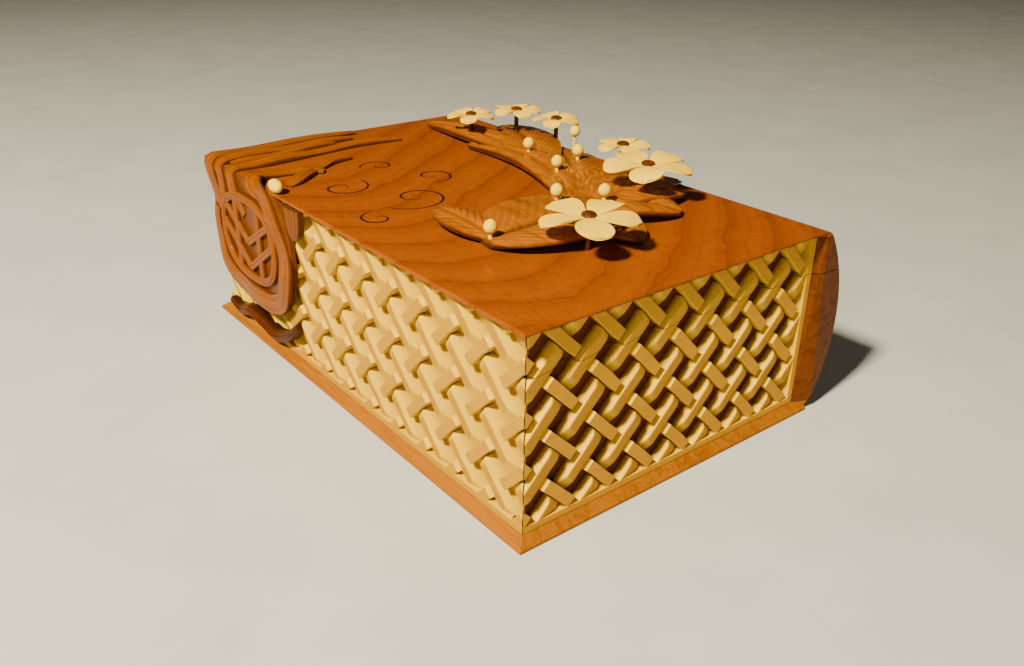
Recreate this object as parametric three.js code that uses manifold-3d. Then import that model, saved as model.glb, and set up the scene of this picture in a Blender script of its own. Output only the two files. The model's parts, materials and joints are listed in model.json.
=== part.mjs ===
// A carved wooden box in the form of a closed book, in millimetres, +Z up.
// X runs from the fore-edge (-) to the spine (+), Y from the head (-) to the tail (+).
// The underside of the bottom board is at Z = 0, and the origin is in the middle of the top
// board, without the spine's bulge.

import * as THREE from 'three';
import { mergeVertices } from 'three/addons/utils/BufferGeometryUtils.js';
import Module from 'manifold-3d';

const wasm = await Module();
wasm.setup();
const { Manifold, Mesh } = wasm;

// Overall form
const coverWidth = 132.2;
const coverLength = 213;
const boxHeight = 70;
const spineBulge = 11.5;
const seamHeight = 54;

// Covers
const topBoardThickness = 2.6;
const bottomBoardThickness = 3.4;
const boardOverhang = 2.4;
const baseProjection = 0.85;
const topEdgeHeight = 0.5;
const topEdgeRound = 0.5;
const baseEdgeHeight = 1;
const shoulderRound = 3.5;

// Walls of the page block and the spine behind it
const wallThickness = 9;
const backWallThickness = 7;
const reliefDepth = 4;
const spineSetIn = 3.9;
const spineBevelTop = 2.6;
const spineBevelBottom = 7.5;

// Basket weave: square cells on the diagonal, flat bars that fall away from the near corner and
// ridged bars that rise. Places along and across a bar are measured from its cell's middle.
const weaveCell = 16.87;
const weaveCornerHeight = 59.6;
const foldOnHead = -2.8;
const foldOnForeEdge = 5.3;
const flatBarWidth = 3.7;
const flatBarStart = -7.3;
const flatBarEnd = 6.9;
const flatBarSlope = 0.6;
const ridgeFoot = -2.5;
const ridgeTop = -1.9;
const ridgedBarEdge = 4;
const ridgedBarFall = 1.5;
// Ends of a ridged bar: place along it and depth of the ridge there
const ridgeDips = [[-9.95, 2.4], [-6.5, 0], [8, 0.1], [9.6, 1.3]];
const borderWidth = 2.4;
const borderHeight = 2.2;

// Clearances
const glueGap = 0.25;
const seamGap = 0.3;
const runningGap = 0.3;

// Hinges
const hingeFromEnd = 46.5;
const hingeLength = 30;
const hingeLeafReach = 11;
const hingeLeafThickness = 1;
const knuckleRadius = 1.6;
const pinRadius = 0.75;
const pinClearance = 0.2;
const screwSpacing = 18;
const screwHeadRadius = 1.9;
const screwShankRadius = 0.9;
const screwHeadDepth = 0.1;

// Clasp over the fore-edge
const claspFromTail = 0.589 * boxHeight;
const claspHalfWidth = 0.5 * boxHeight;
const claspSquareness = 2.5;
const claspPlateThickness = 2.4;
const claspBandWidth = 3.8;
const claspBandInset = 10;
const claspLatticeHeight = 1.9;
const claspBarWidth = 3.4;
const claspTongueWidth = 0.17 * boxHeight;
const claspTongueLength = 0.17 * boxHeight;
// Bars of the clasp's lattice, as shares of the field's half width and half height
const latticeBars = [
  [[-0.45, -1], [-0.45, 1]],
  [[0.45, -1], [0.45, 1]],
  [[-1, 0.15], [0, -0.8]],
  [[1, 0.15], [0, -0.8]],
  [[-1, 0.75], [0, -0.1]],
  [[1, 0.75], [0, -0.1]],
];
const scrollWidth = 5;
const scrollHeight = 4.4;
// Middle line of the scroll: along the fore-edge from the clasp's middle, and above the board
const scrollPoints = [[32, 4], [21, 3.4], [10, 6.6], [-2, 5.6], [-14, 4.4], [-25, 8.3], [-33, 14.8]];

// Carved strands, wrapped from the top board over its edge and down the clasp's front. Each place
// is its distance from the edge, negative down the front, and its distance from the tail, and
// these and the widths are in hundredths of the box's height.
const strandUnit = boxHeight / 100;
const strandHeight = 2.6;
const strandDrop = 2.2;
const strandTurn = 2.2;
const strands = [
  { width: 12, route: [[97, 7], [64, 7], [33, 8], [11, 11], [-7, 13.5], [-17, 16], [-26, 24]] },
  { width: 10, route: [
    [89, 18.5], [69, 18], [47, 18.5], [27, 20], [8.5, 22], [-8, 26], [-16.5, 28.5], [-24, 32]] },
  { width: 8, route: [[74, 24], [55, 26], [36, 29], [20, 31], [4, 31]] },
  { width: 11.5, route: [
    [113, 38.5], [86, 34.5], [60, 36.5], [40, 39], [20, 41], [3, 40], [-7, 43], [-16.5, 48.5],
    [-23.5, 54]] },
  { width: 13, route: [
    [40, 76], [31, 69.5], [21.5, 65.5], [10, 65], [1.5, 68.5], [-4, 80], [-11.5, 90], [-22, 97],
    [-33, 102], [-45, 103], [-60, 97], [-68, 83], [-69, 67], [-69, 50], [-67, 33], [-60, 21],
    [-50, 15], [-38.5, 13.5], [-27, 16]] },
  { width: 9.5, route: [[66, 58.5], [53, 60.5], [41.5, 66.5], [30, 75.5], [18.5, 85], [11.5, 89]] },
];
// The tie that holds the strands together along the edge: distances from the tail
const tieReach = [10, 66];
// The bead at the cover's edge: its place as for the strands, and its half sizes
const beadPlace = [1.7, 95];
const beadHalfSize = [2.4, 4.4, 2.5];

// Floral spray
const leafThickness = 1.1;
const leafCrown = 1.6;
const bigPetalLength = 16.5;
const smallPetalLength = 10.6;
const petalThickness = 1.1;
const petalArch = 1.3;
const petalDroop = 0.6;
const petalCurl = 0.05;
// Outline of a petal: share of its length, and half width there as a share of the length
const petalForm = [[0.1, 0.09], [0.3, 0.19], [0.52, 0.32], [0.76, 0.36], [0.93, 0.26], [1, 0.1]];
const hubRadius = 2.7;
const blossomPinRadius = 1;
const blossomPinHeadRadius = 1.9;
const berryRadius = 2.3;
const berryPegRadius = 0.7;
// A place on the cover, given as shares of its width and length from the middle
const onCover = ([x, y, ...others]) => [x * coverWidth, y * coverLength, ...others];
// Blossoms: middle, height over the board and length of a petal
const blossomPlaces = [
  [-0.094, -0.335, 10, bigPetalLength],
  [0.293, -0.219, 12, bigPetalLength],
  [0.404, -0.089, 11, smallPetalLength],
  [0.272, 0.268, 11, smallPetalLength],
  [0.416, 0.232, 12, smallPetalLength],
  [0.458, 0.136, 11, smallPetalLength],
].map(onCover);
// Turn of each blossom about its pin, as a share of the angle between two petals
const blossomTurns = [0.28, 0.08, 0.4, 0.16, 0.48, 0];
// Berries: middle and height over the board
const berryPlaces = [
  [0.254, 0.068, 9], [0.192, -0.059, 9], [0.321, -0.025, 9], [0.448, 0.072, 10],
  [0.012, -0.188, 9], [0.112, -0.234, 9], [-0.269, -0.242, 7],
].map(onCover);
// Leaves: stem and tip, bend of the midrib and width as shares of the cover's width, and rise
// of the middle in thicknesses of a leaf
const leaves = [
  [[-0.242, -0.244], [-0.219, -0.063], -0.038, 0.121, 2.2],
  [[-0.287, -0.235], [0.197, -0.216], 0.053, 0.333, 3.0],
  [[0, -0.225], [0.03, -0.371], -0.015, 0.182, 2.0],
  [[0.076, -0.216], [0.265, -0.319], -0.038, 0.212, 2.7],
  [[0.091, -0.197], [0.393, -0.254], -0.03, 0.197, 2.9],
  [[0.106, -0.178], [0.47, -0.2], -0.03, 0.189, 2.6],
  [[0.121, -0.15], [0.484, -0.085], 0.045, 0.189, 2.3],
  [[0.091, -0.16], [0.212, 0.235], 0.151, 0.129, 3.2],
  [[0.136, -0.131], [0.408, 0.094], 0.038, 0.197, 2.5],
  [[0.257, 0.075], [0.272, 0.433], 0.038, 0.129, 3.0],
  [[0.227, 0.009], [0.469, 0.319], 0.045, 0.197, 2.6],
];

// Places worked out from the sizes above
const foreEdge = -coverWidth / 2;
const spineRoot = coverWidth / 2;
const headEdge = -coverLength / 2;
const topUnderside = boxHeight - topBoardThickness;
const blockFront = foreEdge + boardOverhang;
const blockBack = spineRoot - spineSetIn;
const blockEnd = coverLength / 2 - boardOverhang;
const lidBottom = seamHeight + seamGap;
const screwLength = 0.66 * (topUnderside - lidBottom);
const spineRadius = (boxHeight * boxHeight) / (8 * spineBulge) + spineBulge / 2;
const spineCentreX = spineRoot + spineBulge - spineRadius;
const hingeZ = seamHeight + seamGap / 2;
const hingeX = spineCentreX
  + Math.sqrt((spineRadius + knuckleRadius + glueGap) ** 2 - (hingeZ - boxHeight / 2) ** 2);
const claspCentreY = coverLength / 2 - claspFromTail;
const claspCentreZ = 0.65 * boxHeight;
const claspHalfHeight = 0.4 * boxHeight;
const claspTop = boxHeight - strandDrop - runningGap;
const claspBack = blockFront - runningGap;
const claspFront = claspBack - claspPlateThickness;
const topSeat = boxHeight + runningGap;

const X = new THREE.Vector3(1, 0, 0);
const Y = new THREE.Vector3(0, 1, 0);
const Z = new THREE.Vector3(0, 0, 1);

// A closed geometry as a solid that can be joined and cut, and back again

function solid(geometry) {
  const bare = geometry.clone();
  bare.deleteAttribute('normal');
  bare.deleteAttribute('uv');
  const merged = mergeVertices(bare, 1e-4);
  return new Manifold(new Mesh({
    numProp: 3,
    vertProperties: new Float32Array(merged.attributes.position.array),
    triVerts: new Uint32Array(merged.index.array),
  }));
}

function geometryOf(body) {
  const mesh = body.getMesh();
  const geometry = new THREE.BufferGeometry();
  geometry.setAttribute('position', new THREE.BufferAttribute(mesh.vertProperties, 3));
  geometry.setIndex(new THREE.BufferAttribute(mesh.triVerts, 1));
  return geometry;
}

function joined(bodies) {
  return bodies.reduce((whole, body) => whole.add(body));
}

// The main body of a cut solid, without the slivers that the cut leaves of what crosses it
function mainBody(body) {
  return body.decompose().reduce((best, piece) => (piece.volume() > best.volume() ? piece : best));
}

// Extrusions along each axis, from a list of [across, up] corners

function extrudeAlongZ(points, from, to) {
  const shape = new THREE.Shape(points.map(([x, y]) => new THREE.Vector2(x, y)));
  const geometry = new THREE.ExtrudeGeometry(shape, { depth: to - from, bevelEnabled: false });
  return geometry.translate(0, 0, from);
}

function extrudeAlongY(points, from, to) {
  return extrudeAlongZ(points, -to, -from).rotateX(Math.PI / 2);
}

function extrudeAlongX(points, from, to) {
  return extrudeAlongZ(points, from, to).applyMatrix4(new THREE.Matrix4().makeBasis(Y, Z, X));
}

function box([x0, y0, z0], [x1, y1, z1]) {
  return solid(new THREE.BoxGeometry(x1 - x0, y1 - y0, z1 - z0)
    .translate((x0 + x1) / 2, (y0 + y1) / 2, (z0 + z1) / 2));
}

function rod(radius, from, to, x, y, sides) {
  return solid(new THREE.CylinderGeometry(radius, radius, to - from, sides)
    .rotateX(Math.PI / 2).translate(x, y, (from + to) / 2));
}

// A skin over a row of rings with the same even number of points, closed at both ends

function loft(rings) {
  const count = rings[0].length;
  const last = (rings.length - 1) * count;
  const index = [];
  for (let ring = 0; ring + 1 < rings.length; ring += 1) {
    for (let i = 0; i < count; i += 1) {
      const a = ring * count + i;
      const b = ring * count + ((i + 1) % count);
      index.push(a, b, b + count, a, b + count, a + count);
    }
  }
  for (let i = 0; i + 1 < count / 2; i += 1) {
    const [a, b, c, d] = [i, i + 1, count - 2 - i, count - 1 - i];
    index.push(a, c, b, a, d, c);
    index.push(last + a, last + b, last + c, last + a, last + c, last + d);
  }
  const positions = rings.flat().flatMap((p) => [p.x, p.y, p.z]);
  const geometry = new THREE.BufferGeometry();
  geometry.setAttribute('position', new THREE.BufferAttribute(new Float32Array(positions), 3));
  geometry.setIndex(enclosedVolume(positions, index) < 0 ? index.reverse() : index);
  return geometry;
}

function enclosedVolume(positions, index) {
  const corner = (i) => new THREE.Vector3().fromArray(positions, 3 * i);
  let volume = 0;
  for (let i = 0; i < index.length; i += 3) {
    volume += corner(index[i]).dot(corner(index[i + 1]).cross(corner(index[i + 2]))) / 6;
  }
  return volume;
}

// Covers and spine

const spineX = (z) => spineCentreX + Math.sqrt(spineRadius ** 2 - (z - boxHeight / 2) ** 2);

function spineArc(from, to, steps) {
  return Array.from({ length: steps + 1 }, (_, i) => {
    const z = from + ((to - from) * i) / steps;
    return [spineX(z), z];
  });
}

// Plan of the spine at full length: its inner corners are bevelled back to the walls,
// narrowly at the top and widely at the bottom
function spinePlan() {
  const ring = (z, bevel, projection) => {
    const end = coverLength / 2 + projection;
    const far = spineRoot + 2 * spineBulge;
    const corners = [
      [blockBack, -blockEnd], [blockBack + bevel, -end], [far, -end],
      [far, end], [blockBack + bevel, end], [blockBack, blockEnd],
    ];
    return corners.map(([x, y]) => new THREE.Vector3(x, y, z));
  };
  return solid(loft([
    ring(0, spineBevelBottom, baseProjection),
    ring(boxHeight, spineBevelTop, 0),
  ]));
}

// A profile across the box's length, from the half of it at the tail
const mirrored = (half) => [...half, ...half.map(([y, z]) => [-y, z]).reverse()];

function topBoard() {
  const edgeTop = boxHeight - topEdgeRound;
  const edgeBottom = edgeTop - topEdgeHeight;
  const shoulder = new THREE.QuadraticBezierCurve(
    new THREE.Vector2(spineRoot - shoulderRound, boxHeight),
    new THREE.Vector2(spineRoot - shoulderRound / 5, boxHeight),
    new THREE.Vector2(spineX(boxHeight - shoulderRound * 0.7), boxHeight - shoulderRound * 0.7),
  ).getPoints(5).map((p) => [p.x, p.y]);
  const along = [
    [blockFront, topUnderside], [foreEdge, edgeBottom],
    [foreEdge, edgeTop], [foreEdge + topEdgeRound, boxHeight],
    ...shoulder, [spineX(topUnderside), topUnderside],
  ];
  const across = mirrored([
    [-headEdge - topEdgeRound, boxHeight], [-headEdge, edgeTop], [-headEdge, edgeBottom],
    [blockEnd, topUnderside],
  ]);
  const lengthways = solid(extrudeAlongY(along, 2 * headEdge, -2 * headEdge));
  const crossways = solid(extrudeAlongX(across, 2 * foreEdge, 2 * spineRoot));
  return lengthways.intersect(crossways.add(spinePlan()));
}

function bottomBoard() {
  const front = foreEdge - baseProjection;
  const along = [
    [front, 0], [front, baseEdgeHeight], [blockFront, bottomBoardThickness],
    ...spineArc(bottomBoardThickness, 0, 2),
  ];
  const end = coverLength / 2 + baseProjection;
  const across = mirrored([[end, 0], [end, baseEdgeHeight], [blockEnd, bottomBoardThickness]]);
  const lengthways = solid(extrudeAlongY(along, -2 * end, 2 * end));
  const crossways = solid(extrudeAlongX(across, 2 * foreEdge, 2 * spineRoot));
  return lengthways.intersect(crossways.add(spinePlan()));
}

function spinePiece(from, to, steps) {
  const inner = blockBack + glueGap;
  const profile = [[inner, to], [inner, from], ...spineArc(from, to, steps)];
  return solid(extrudeAlongY(profile, 2 * headEdge, -2 * headEdge)).intersect(spinePlan());
}

// Woven walls. A wall is drawn as seen from outside, in its own frame: distance along it from the
// corner that it starts at, then height, then depth outwards. side is -1 where it runs to the left.

function wallPrism({ side, length, bottom, top, farMitre }, depth) {
  const farEnd = (d) => (farMitre ? length - d - glueGap : length);
  const plan = [
    [side * (depth + glueGap), -depth],
    [side * farEnd(depth), -depth],
    [side * farEnd(wallThickness), -wallThickness],
    [side * (wallThickness + glueGap), -wallThickness],
  ];
  return solid(extrudeAlongY(plan, bottom, top));
}

// Middles of the square cells that can touch a wall, on the lattice through one of them
function cellsOver({ side, length, bottom, top }, [x, y]) {
  const reach = 0.6 * weaveCell;
  const low = side < 0 ? -length : 0;
  const first = (start, limit) => (
    start + weaveCell * Math.ceil((limit - reach - start) / weaveCell));
  const places = [];
  for (let u = first(x, low); u < low + length + reach; u += weaveCell) {
    for (let v = first(y, bottom); v < top + reach; v += weaveCell) {
      places.push(new THREE.Vector3(u, v, 0));
    }
  }
  return places;
}

// down is 1 where the flat bars fall to the right and -1 where they fall to the left
function weaveBars(wall) {
  const { down, cell } = wall;
  const falling = new THREE.Vector3(down, -1, 0).normalize();
  const rising = new THREE.Vector3(down, 1, 0).normalize();
  const floor = -reliefDepth - 0.5;
  const ring = (middle, points) => points.map(([u, v, depth]) => (
    middle.clone().addScaledVector(falling, u).addScaledVector(rising, v).setZ(depth)));

  const flatBar = (middle) => {
    const half = flatBarWidth / 2;
    const across = (start, depth) => [
      [start, -half, depth], [flatBarEnd, -half, depth], [flatBarEnd, half, depth], [start, half, depth]];
    const foot = flatBarStart - (flatBarSlope * -floor) / ridgedBarFall;
    return loft([ring(middle, across(foot, floor)), ring(middle, across(flatBarStart, 0))]);
  };

  const ridgedBar = (middle) => loft(ridgeDips.map(([v, dip]) => ring(middle, [
    [ridgeFoot, v, floor], [ridgeTop, v, -dip],
    [ridgedBarEdge, v, -ridgedBarFall - dip / 2], [ridgedBarEdge, v, floor],
  ])));

  const halfway = cell.map((place) => place + weaveCell / 2);
  return joined([
    ...cellsOver(wall, cell).map(flatBar), ...cellsOver(wall, halfway).map(ridgedBar),
  ].map(solid));
}

function wovenWall(wall) {
  const { side, length, bottom, top, farMitre, border, frame } = wall;
  const whole = wallPrism(wall, 0);
  const edges = [];
  if (border) {
    edges.push(box([side < 0 ? -length : 0, bottom, -reliefDepth - 0.5],
      [side < 0 ? 0 : length, bottom + borderHeight, -0.4]));
  }
  if (!farMitre) {
    const nearSide = length - borderWidth;
    edges.push(box([side < 0 ? -length : nearSide, bottom - 1, -reliefDepth - 0.5],
      [side < 0 ? -nearSide : length, top + 1, -0.1]));
  }
  const relief = joined([weaveBars(wall), ...edges]).intersect(whole);
  return mainBody(wallPrism(wall, reliefDepth).add(relief)).transform(frame.toArray());
}

// Frames of the three woven faces: right, up and outwards, from the corner where the wall starts
function faceFrame(right, out, x, y) {
  return new THREE.Matrix4().makeBasis(right, Z, out).setPosition(x, y, 0);
}

const minusX = X.clone().negate();
const minusY = Y.clone().negate();
const endWallLength = blockBack - blockFront;
const foreEdgeLength = 2 * blockEnd;
const tailFold = (foreEdgeLength - foldOnForeEdge) % weaveCell;
const foreEdgeRow = weaveCornerHeight - foldOnForeEdge;
const faces = {
  head: {
    side: 1, length: endWallLength, farMitre: false,
    down: 1, cell: [foldOnHead, weaveCornerHeight - foldOnHead],
    frame: faceFrame(X, minusY, blockFront, -blockEnd),
  },
  fore_edge: {
    side: -1, length: foreEdgeLength, farMitre: true,
    down: -1, cell: [-foldOnForeEdge, foreEdgeRow],
    frame: faceFrame(minusY, minusX, blockFront, -blockEnd),
  },
  tail: {
    side: -1, length: endWallLength, farMitre: false,
    down: 1, cell: [-tailFold, foreEdgeRow],
    frame: faceFrame(minusX, Y, blockFront, blockEnd),
  },
};

const bodyWall = (face) => wovenWall({
  ...faces[face], bottom: bottomBoardThickness + glueGap, top: seamHeight, border: true,
});
const lidRim = (face) => wovenWall({
  ...faces[face], bottom: lidBottom, top: topUnderside - glueGap, border: false,
});

function backPiece(bottom, top) {
  const inner = blockEnd - wallThickness - glueGap;
  const front = blockBack - backWallThickness;
  return box([front, -inner, bottom], [blockBack, inner, top]);
}

// Hinges: two leaves let into the spine at the seam, a pin, and two screws in each leaf

const screwPlaces = (y) => [-1, 1].map((end) => [
  hingeX - hingeLeafReach / 2 - knuckleRadius, y + (end * screwSpacing) / 2]);

// A countersunk screw, or with a clearance the hole that it sits in, open above the leaf
function screwForm(clearance) {
  const end = -screwLength - 2 * clearance;
  const above = clearance > 0 ? [[screwHeadRadius + clearance, hingeLeafThickness]] : [];
  const shank = [
    [0, end], [screwShankRadius + clearance, end + 1.2 * screwShankRadius],
    [screwShankRadius + clearance, -hingeLeafThickness],
    [screwHeadRadius + clearance, -screwHeadDepth], ...above,
  ];
  const profile = [...shank, [0, shank[shank.length - 1][1]]];
  return new THREE.LatheGeometry(profile.map(([x, y]) => new THREE.Vector2(x, y)), 7)
    .rotateX(Math.PI / 2);
}

// up is 1 for the lid's leaf and -1 for the body's: each screw's head faces the seam
function screwAt([x, y], up, clearance) {
  const form = screwForm(clearance);
  const face = up > 0 ? lidBottom : seamHeight;
  return solid((up > 0 ? form.rotateX(Math.PI) : form).translate(x, y, face));
}

function knuckle(y, length) {
  const ring = new THREE.Shape().absarc(0, 0, knuckleRadius, 0, 2 * Math.PI);
  const form = new THREE.ExtrudeGeometry(ring, { depth: length, bevelEnabled: false, curveSegments: 5 });
  return solid(form.rotateX(Math.PI / 2).translate(hingeX, y + length / 2, hingeZ));
}

// One leaf with its knuckles: the body's leaf has the two outer ones, the lid's the middle one
function hingeLeaf(y, up) {
  const third = hingeLength / 3;
  const [from, to] = up > 0
    ? [lidBottom, lidBottom + hingeLeafThickness]
    : [seamHeight - hingeLeafThickness, seamHeight];
  const inner = hingeX - hingeLeafReach;
  const neck = hingeX - knuckleRadius - runningGap;
  const half = hingeLength / 2;
  const tab = third / 2 - (up * runningGap) / 2;
  const plate = up > 0
    ? [[inner, -half], [neck, -half], [neck, -tab], [hingeX, -tab],
      [hingeX, tab], [neck, tab], [neck, half], [inner, half]]
    : [[inner, -half], [hingeX, -half], [hingeX, -tab], [neck, -tab],
      [neck, tab], [hingeX, tab], [hingeX, half], [inner, half]];
  const outline = plate.map(([x, along]) => [x, y + along]);
  const flat = solid(extrudeAlongZ(outline, from, to));
  const outer = half - tab;
  const knuckles = up > 0
    ? [knuckle(y, 2 * tab)]
    : [-1, 1].map((end) => knuckle(y + end * (half - outer / 2), outer));
  const bore = solid(new THREE.CylinderGeometry(
    pinRadius + pinClearance, pinRadius + pinClearance, 2 * hingeLength, 12)
    .translate(hingeX, y, hingeZ));
  const holes = screwPlaces(y).map((place) => screwAt(place, up, pinClearance));
  return joined([flat, ...knuckles]).subtract(joined([bore, ...holes]));
}

function hingePin(y) {
  return solid(new THREE.CylinderGeometry(pinRadius, pinRadius, hingeLength, 10)
    .translate(hingeX, y, hingeZ));
}

// The recess that a leaf lies in, with the pilot holes of its screws
function hingeSeat(y, up) {
  const inner = hingeX - hingeLeafReach - pinClearance;
  const half = hingeLength / 2 + pinClearance;
  const deep = hingeLeafThickness + pinClearance;
  const [from, to] = up > 0
    ? [lidBottom - 1, lidBottom + deep]
    : [seamHeight - deep, seamHeight + 1];
  const seat = box([inner, y - half, from], [hingeX + spineBulge, y + half, to]);
  return joined([seat, ...screwPlaces(y).map((place) => screwAt(place, up, pinClearance))]);
}

const hingePlaces = [headEdge + hingeFromEnd, -headEdge - hingeFromEnd];

// Carved clasp

function roundedShield(scaleY, scaleZ, steps) {
  const power = 2 / claspSquareness;
  return Array.from({ length: steps }, (_, i) => {
    const angle = (2 * Math.PI * i) / steps;
    const [c, s] = [Math.cos(angle), Math.sin(angle)];
    return [
      claspCentreY + Math.sign(c) * Math.abs(c) ** power * scaleY,
      claspCentreZ + Math.sign(s) * Math.abs(s) ** power * scaleZ,
    ];
  });
}

function shieldSlab(inset, from, to) {
  const outline = roundedShield(claspHalfWidth - inset, claspHalfHeight - inset, 32);
  return solid(extrudeAlongX(outline, from, to));
}

// A raised ring between two insets from the shield's outline, standing height above the plate
function shieldBand(inset, width, height) {
  return shieldSlab(inset, claspFront - height, claspFront + 0.5)
    .subtract(shieldSlab(inset + width, claspFront - height - 1, claspFront + 1));
}

// A straight bar of the lattice in the field inside the ring
function latticeBar(bar, inset) {
  const [start, end] = bar.map(([y, z]) => new THREE.Vector3(
    claspFront,
    claspCentreY + y * (claspHalfWidth - inset),
    claspCentreZ + z * (claspHalfHeight - inset),
  ));
  const across = end.clone().sub(start).cross(X).normalize();
  const ring = (p) => [
    [-claspBarWidth / 2, 0.5], [-claspBarWidth / 3, -claspLatticeHeight],
    [claspBarWidth / 3, -claspLatticeHeight], [claspBarWidth / 2, 0.5],
  ].map(([v, x]) => p.clone().addScaledVector(across, v).add(new THREE.Vector3(x, 0, 0)));
  return solid(loft([ring(start), ring(end)]));
}

// A rounded band along a row of stations: [centre, up, width, height]
function band(stations) {
  return loft(stations.map(([centre, up, width, height], i) => {
    const next = stations[Math.min(i + 1, stations.length - 1)][0];
    const before = stations[Math.max(i - 1, 0)][0];
    const across = next.clone().sub(before).cross(up).normalize();
    const section = [
      [-0.5, -0.3], [-0.5, 0.45], [-0.25, 1], [0.25, 1], [0.5, 0.45], [0.5, -0.3],
    ];
    return section.map(([v, h]) => centre.clone()
      .addScaledVector(across, v * width).addScaledVector(up, h * height));
  }));
}

// The point and the outward direction at a strand's place, round the board's edge
function onWrap(fromEdge, fromTail) {
  const y = coverLength / 2 - fromTail;
  if (fromEdge > strandTurn) {
    return [new THREE.Vector3(foreEdge + fromEdge, y, topSeat), Z.clone()];
  }
  if (fromEdge < -strandTurn) {
    return [new THREE.Vector3(claspFront, y, topSeat + fromEdge), minusX.clone()];
  }
  const angle = ((3 * strandTurn - fromEdge) / (4 * strandTurn)) * Math.PI;
  const [c, s] = [Math.cos(angle), Math.sin(angle)];
  const reach = foreEdge - claspFront + strandTurn;
  const corner = new THREE.Vector3(
    foreEdge + strandTurn + c * reach, y, topSeat - strandTurn + s * strandTurn);
  return [corner, new THREE.Vector3(c, 0, s)];
}

function strand({ width, route }) {
  const places = route.map(([w, t]) => new THREE.Vector3(w, t, 0).multiplyScalar(strandUnit));
  const curve = new THREE.CatmullRomCurve3(places);
  const steps = 3 * (route.length - 1);
  return solid(band(curve.getPoints(steps).map(({ x, y }, i) => {
    const [centre, up] = onWrap(x, y);
    const taper = 0.45 + 0.55 * Math.sqrt(Math.sin(Math.PI * (0.04 + (0.92 * i) / steps)));
    return [centre, up, width * strandUnit * taper, strandHeight * taper];
  })));
}

// The strip of air that the clasp and strands leave round the top board's edge
const boardClearance = () => box(
  [foreEdge - runningGap, headEdge, topUnderside - runningGap], [spineRoot, -headEdge, topSeat]);

function claspPlate() {
  const tongueEdge = claspCentreY - claspHalfWidth - 0.75 * claspTongueWidth;
  const tongue = extrudeAlongX([
    [tongueEdge, boxHeight], [tongueEdge, claspTop - claspTongueLength * 0.75],
    [tongueEdge + claspTongueWidth * 0.3, claspTop - claspTongueLength],
    [tongueEdge + claspTongueWidth * 0.7, claspTop - claspTongueLength],
    [tongueEdge + claspTongueWidth, claspTop - claspTongueLength * 0.75],
    [tongueEdge + claspTongueWidth, boxHeight],
  ], claspFront + 0.4, claspBack);
  const above = box([2 * foreEdge, headEdge, claspTop], [0, -headEdge, 2 * boxHeight]);
  return mainBody(joined([
    shieldSlab(0, claspFront, claspBack),
    solid(tongue),
    shieldBand(claspBandInset, claspBandWidth, claspLatticeHeight),
    ...latticeBars.map((bar) => latticeBar(bar, claspBandInset)),
    ...strands.map(strand),
  ]).subtract(boardClearance()).subtract(above));
}

// The part of the strands over the board, tied together along its edge
function strapwork() {
  const tail = coverLength / 2;
  const [tieStart, tieEnd] = tieReach.map((fromTail) => tail - fromTail * strandUnit);
  const tie = box([foreEdge - 2 * runningGap, tieEnd, topSeat],
    [foreEdge + 2 * strandHeight, tieStart, topSeat + strandHeight * 0.4]);
  const below = box([2 * foreEdge, headEdge, 0], [spineRoot, tail, boxHeight - strandDrop]);
  return joined([...strands.map(strand), tie]).subtract(boardClearance()).subtract(below);
}

function edgeBead() {
  const [fromEdge, fromTail] = beadPlace.map((place) => place * strandUnit);
  return solid(new THREE.SphereGeometry(1, 10, 7).rotateX(Math.PI / 2)
    .scale(...beadHalfSize)
    .translate(foreEdge + fromEdge, coverLength / 2 - fromTail, topSeat + beadHalfSize[2]));
}

// Carved scroll below the clasp, a wave along the foot of the fore-edge wall
function claspScroll() {
  const scroll = scrollPoints.map(([y, z]) => (
    new THREE.Vector3(claspBack, claspCentreY + y, bottomBoardThickness + z)));
  const curve = new THREE.CatmullRomCurve3(scroll);
  const steps = 2 * (scroll.length - 1);
  const stations = curve.getPoints(steps).map((p, i) => {
    const taper = 1 - 0.4 * Math.abs((2 * i) / steps - 1) ** 3;
    return [p, minusX, scrollWidth * taper, scrollHeight * taper];
  });
  const insideWall = box([claspBack, headEdge, 0], [0, -headEdge, boxHeight]);
  return solid(band(stations)).subtract(insideWall);
}

// Floral spray. A leaf runs from stem to tip over a bent midrib and stands clear of the board
// along its edges, with its middle resting on the board.
function leaf([stem, tip, bend, width, rise]) {
  const [start, end] = [stem, tip].map((place) => new THREE.Vector3(...onCover(place), topSeat));
  const middle = start.clone().lerp(end, 0.5)
    .addScaledVector(end.clone().sub(start).cross(Z).normalize(), bend * coverWidth);
  const midrib = new THREE.QuadraticBezierCurve3(start, middle, end);
  const steps = 6;
  const rings = Array.from({ length: steps + 1 }, (_, i) => {
    const u = 0.02 + (0.96 * i) / steps;
    const centre = midrib.getPoint(u);
    const across = midrib.getTangent(u).cross(Z).normalize();
    const swell = Math.sin(Math.PI * u ** 0.85) ** 0.6;
    const half = (width / 2) * coverWidth * swell;
    const height = leafThickness * (1 + rise * Math.sin(Math.PI * (0.12 + 0.8 * u)));
    const crown = leafCrown * swell;
    const section = [
      [-1, height], [-0.55, height + 0.8 * crown], [0, height + 0.55 * crown],
      [0.55, height + 0.8 * crown], [1, height],
      [1, height - leafThickness], [0.6, 0], [0, 0], [-0.6, 0], [-1, height - leafThickness],
    ];
    return section.map(([v, z]) => centre.clone().addScaledVector(across, v * half).setZ(topSeat + z));
  });
  return solid(loft(rings));
}

const pinPlaces = blossomPlaces.map(([x, y]) => [x, y, blossomPinRadius]);
const pegPlaces = berryPlaces.map(([x, y]) => [x, y, berryPegRadius]);

function leafWreath() {
  const holes = [...pinPlaces, ...pegPlaces].map(([x, y, radius]) => (
    rod(radius + runningGap, boxHeight, 2 * boxHeight, x, y, 6)));
  return joined(leaves.map(leaf)).subtract(joined(holes));
}

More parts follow.
